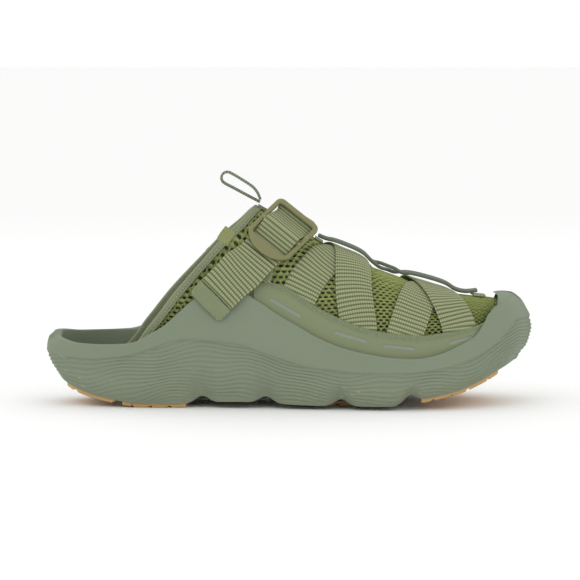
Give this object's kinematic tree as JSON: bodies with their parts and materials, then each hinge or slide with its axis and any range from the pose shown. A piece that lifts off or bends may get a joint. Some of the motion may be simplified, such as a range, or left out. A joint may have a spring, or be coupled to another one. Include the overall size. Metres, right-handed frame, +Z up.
{
  "type": "strappy sport sandal",
  "caption": "Closed-toe, open-heel sport sandal for the right foot: foam cup sole, mesh upper, crossed webbing straps, elastic lace and a buckled instep strap.",
  "frame": {"origin": "on the ground under the middle of the sandal's box", "axes": "+X towards the toe, +Y towards the inner side of the right foot, +Z up"},
  "size_m": [0.2994, 0.1084, 0.1425],
  "materials": {
    "midsole_foam": "matte fine-textured moulded foam, sage olive",
    "gum_rubber": "translucent gum rubber, satin",
    "board": "stitched fibre board, matte",
    "footbed_foam": "soft foam, matte",
    "topcloth": "brushed knit cloth, matte",
    "air_mesh": "open spacer mesh in bright olive yarn",
    "lining_knit": "fine knit, matte",
    "binding_knit": "folded knit binding with light topstitch",
    "webbing": "ribbed flat webbing, slight sheen",
    "film": "fused film, satin",
    "moulded_buckle": "moulded nylon, satin, olive tan",
    "loop_tape": "narrow woven tape, matte",
    "lace_cord": "braided elastic cord",
    "label_fabric": "woven tab, matte"
  },
  "bodies": {
    "shoe": {"midsole_foam": "midsole_foam", "heel_tread": "gum_rubber", "rear_tread": "gum_rubber", "arch_tread": "gum_rubber", "ball_tread": "gum_rubber", "front_tread": "gum_rubber", "insole_board": "board", "footbed": "footbed_foam", "footbed_topcloth": "topcloth", "mesh_vamp": "air_mesh", "mesh_quarter_lateral": "air_mesh", "mesh_quarter_medial": "air_mesh", "upper_lining": "lining_knit", "collar_binding_lateral": "binding_knit", "collar_binding_medial": "binding_knit", "rear_strap_under": "webbing", "rear_strap_over": "webbing", "front_strap_under": "webbing", "front_strap_over": "webbing", "instep_strap": "webbing", "anchor_loop": "webbing", "anchor_webbing": "webbing", "lace_anchor_rear": "webbing", "lace_anchor_toe": "webbing", "film_band_lateral": "film", "film_band_medial": "film", "loop_base": "loop_tape", "lace_strand_lower": "lace_cord", "lace_strand_upper": "lace_cord", "label_tab": "label_fabric"},
    "buckle": {"buckle": "moulded_buckle", "strap_bight": "webbing"},
    "strap_end": {"strap_tail": "webbing", "strap_tip": "film"},
    "pull_loop": {"pull_loop": "loop_tape"}
  },
  "joints": [
    {"name": "buckle_tilt", "type": "hinge", "parent": "shoe", "child": "buckle", "pos_m": [-0.00519, -0.02126, 0.10663], "axis": [-0.7572, 0.2798, 0.5902], "range_deg": [0, 20]},
    {"name": "strap_end_lift", "type": "hinge", "parent": "buckle", "child": "strap_end", "pos_m": [-0.01844, -0.02956, 0.09356], "axis": [-0.7572, 0.2798, 0.5902], "range_deg": [0, 95]},
    {"name": "pull_loop_swing", "type": "hinge", "parent": "shoe", "child": "pull_loop", "pos_m": [-0.01884, 0.0003, 0.12261], "axis": [0, 1, 0], "range_deg": [-45, 30], "stiffness_Nm_per_rad": 0.01}
  ]
}
